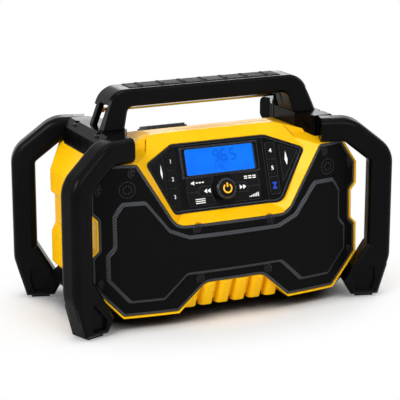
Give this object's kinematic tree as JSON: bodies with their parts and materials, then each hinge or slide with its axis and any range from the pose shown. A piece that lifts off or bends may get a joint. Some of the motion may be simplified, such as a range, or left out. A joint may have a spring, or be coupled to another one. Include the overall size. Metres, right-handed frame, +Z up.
{
  "type": "jobsite radio",
  "caption": "Portable radio: a two-shell housing in a tubular roll cage, with a carrying handle, a folded key panel with a display, a rear battery bay and a fold-out telescopic antenna.",
  "frame": {"origin": "middle of the footprint, on the surface that the feet stand on", "axes": "+X is the radio's right seen from its front, +Y is its back, +Z is up"},
  "size_m": [0.42, 0.2072, 0.268],
  "materials": {
    "housing_yellow": "satin injection-moulded",
    "cage_black": "satin",
    "handle_black": "semi-gloss",
    "rubber_black": "soft",
    "grille_black": "perforated, satin black paint",
    "screw_steel": "blackened",
    "panel_black": "gloss",
    "display_glass": "clear window",
    "display_blue": "lit",
    "key_black": "satin",
    "ring_black": "gloss",
    "board_green": "circuit board",
    "core_steel": "laminated steel",
    "bay_black": "satin",
    "contact_brass": "plain",
    "socket_black": "satin",
    "speaker_steel": "painted basket and magnet",
    "cone_grey": "pressed paper",
    "antenna_chrome": "bright",
    "tip_yellow": "satin"
  },
  "bodies": {
    "radio": {"front_housing": "housing_yellow", "rear_housing": "housing_yellow", "roof_vent": "bay_black", "grille": "grille_black", "grille_screws": "screw_steel", "panel_bezel": "panel_black", "lcd_lens": "display_glass", "lcd_module": "display_blue", "power_ring": "ring_black", "control_board": "board_green", "main_board": "board_green", "transformer": "core_steel", "battery_bay": "bay_black", "battery_terminals": "contact_brass", "aux_jack": "socket_black", "usb_socket": "socket_black", "power_inlet": "socket_black", "handle_front": "handle_black", "handle_rear": "handle_black", "handle_grip": "rubber_black", "handle_screws": "screw_steel", "yoke_right": "handle_black", "yoke_left": "handle_black", "lower_rail_right": "cage_black", "lower_rail_left": "cage_black", "foot_pads": "rubber_black", "cage_screws": "screw_steel", "antenna_post": "handle_black", "speaker_frame_right": "speaker_steel", "speaker_frame_left": "speaker_steel", "speaker_cone_right": "cone_grey", "speaker_cone_left": "cone_grey", "tweeter_right": "speaker_steel", "tweeter_left": "speaker_steel", "cage_tube_front_right": "cage_black", "cage_tube_front_left": "cage_black", "cage_tube_rear_right": "cage_black", "cage_tube_rear_left": "cage_black"},
    "mute_key": {"mute_key": "key_black"},
    "menu_key": {"menu_key": "key_black"},
    "mode_key": {"mode_key": "key_black"},
    "scan_key": {"scan_key": "key_black"},
    "seek_back_key": {"seek_back_key": "key_black"},
    "seek_forward_key": {"seek_forward_key": "key_black"},
    "preset_key_1": {"preset_key_1": "key_black"},
    "preset_key_2": {"preset_key_2": "key_black"},
    "preset_key_3": {"preset_key_3": "key_black"},
    "preset_key_4": {"preset_key_4": "key_black"},
    "preset_key_5": {"preset_key_5": "key_black"},
    "wireless_key": {"wireless_key": "key_black"},
    "power_button": {"power_button": "key_black"},
    "volume_rocker": {"volume_rocker": "key_black"},
    "tuning_rocker": {"tuning_rocker": "key_black"},
    "port_cover": {"port_cover": "rubber_black"},
    "antenna_swivel": {"antenna_swivel": "handle_black"},
    "antenna_arm": {"antenna_outer_tube": "antenna_chrome"},
    "antenna_middle": {"antenna_middle_tube": "antenna_chrome"},
    "antenna_rod": {"antenna_inner_rod": "antenna_chrome", "antenna_tip": "tip_yellow"}
  },
  "joints": [
    {"name": "mute_key_press", "type": "slide", "parent": "radio", "child": "mute_key", "axis": [0, 0.9489, -0.3156], "range_m": [0, 0.0009], "stiffness_N_per_m": 900},
    {"name": "menu_key_press", "type": "slide", "parent": "radio", "child": "menu_key", "axis": [0, 0.9489, -0.3156], "range_m": [0, 0.0009], "stiffness_N_per_m": 900},
    {"name": "mode_key_press", "type": "slide", "parent": "radio", "child": "mode_key", "axis": [0, 0.9489, -0.3156], "range_m": [0, 0.0009], "stiffness_N_per_m": 900},
    {"name": "scan_key_press", "type": "slide", "parent": "radio", "child": "scan_key", "axis": [0, 0.9489, -0.3156], "range_m": [0, 0.0009], "stiffness_N_per_m": 900},
    {"name": "seek_back_key_press", "type": "slide", "parent": "radio", "child": "seek_back_key", "axis": [0, 0.9489, -0.3156], "range_m": [0, 0.0009], "stiffness_N_per_m": 900},
    {"name": "seek_forward_key_press", "type": "slide", "parent": "radio", "child": "seek_forward_key", "axis": [0, 0.9489, -0.3156], "range_m": [0, 0.0009], "stiffness_N_per_m": 900},
    {"name": "preset_key_1_press", "type": "slide", "parent": "radio", "child": "preset_key_1", "axis": [-0.3907, 0.8734, -0.2906], "range_m": [0, 0.0009], "stiffness_N_per_m": 900},
    {"name": "preset_key_2_press", "type": "slide", "parent": "radio", "child": "preset_key_2", "axis": [-0.3907, 0.8734, -0.2906], "range_m": [0, 0.0009], "stiffness_N_per_m": 900},
    {"name": "preset_key_3_press", "type": "slide", "parent": "radio", "child": "preset_key_3", "axis": [-0.3907, 0.8734, -0.2906], "range_m": [0, 0.0009], "stiffness_N_per_m": 900},
    {"name": "preset_key_4_press", "type": "slide", "parent": "radio", "child": "preset_key_4", "axis": [0.3907, 0.8734, -0.2906], "range_m": [0, 0.0009], "stiffness_N_per_m": 900},
    {"name": "preset_key_5_press", "type": "slide", "parent": "radio", "child": "preset_key_5", "axis": [0.3907, 0.8734, -0.2906], "range_m": [0, 0.0009], "stiffness_N_per_m": 900},
    {"name": "wireless_key_press", "type": "slide", "parent": "radio", "child": "wireless_key", "axis": [0.3907, 0.8734, -0.2906], "range_m": [0, 0.0009], "stiffness_N_per_m": 900},
    {"name": "power_button_press", "type": "slide", "parent": "radio", "child": "power_button", "axis": [0, 0.9489, -0.3156], "range_m": [0, 0.0009], "stiffness_N_per_m": 900},
    {"name": "volume_rocker_tip", "type": "hinge", "parent": "radio", "child": "volume_rocker", "pos_m": [-0.0834, -0.05771, 0.17216], "axis": [0.9205, 0.3708, -0.1233], "range_deg": [-2.5, 2.5], "stiffness_Nm_per_rad": 0.5},
    {"name": "tuning_rocker_tip", "type": "hinge", "parent": "radio", "child": "tuning_rocker", "pos_m": [0.0834, -0.05771, 0.17216], "axis": [0.9205, -0.3708, 0.1233], "range_deg": [-2.5, 2.5], "stiffness_Nm_per_rad": 0.5},
    {"name": "port_cover_hinge", "type": "hinge", "parent": "radio", "child": "port_cover", "pos_m": [0.1027, 0.0756, 0.141], "axis": [0, 0, 1], "range_deg": [0, 110]},
    {"name": "antenna_turn", "type": "hinge", "parent": "radio", "child": "antenna_swivel", "pos_m": [0.116, 0.0245, 0.2265], "axis": [0, 0, 1], "range_deg": [-180, 0]},
    {"name": "antenna_tilt", "type": "hinge", "parent": "antenna_swivel", "child": "antenna_arm", "pos_m": [0.116, 0.0245, 0.236], "axis": [0, 1, 0], "range_deg": [0, 90]},
    {"name": "antenna_middle_slide", "type": "slide", "parent": "antenna_arm", "child": "antenna_middle", "axis": [-1, 0, 0], "range_m": [0, 0.17]},
    {"name": "antenna_rod_slide", "type": "slide", "parent": "antenna_middle", "child": "antenna_rod", "axis": [-1, 0, 0], "range_m": [0, 0.17]}
  ]
}
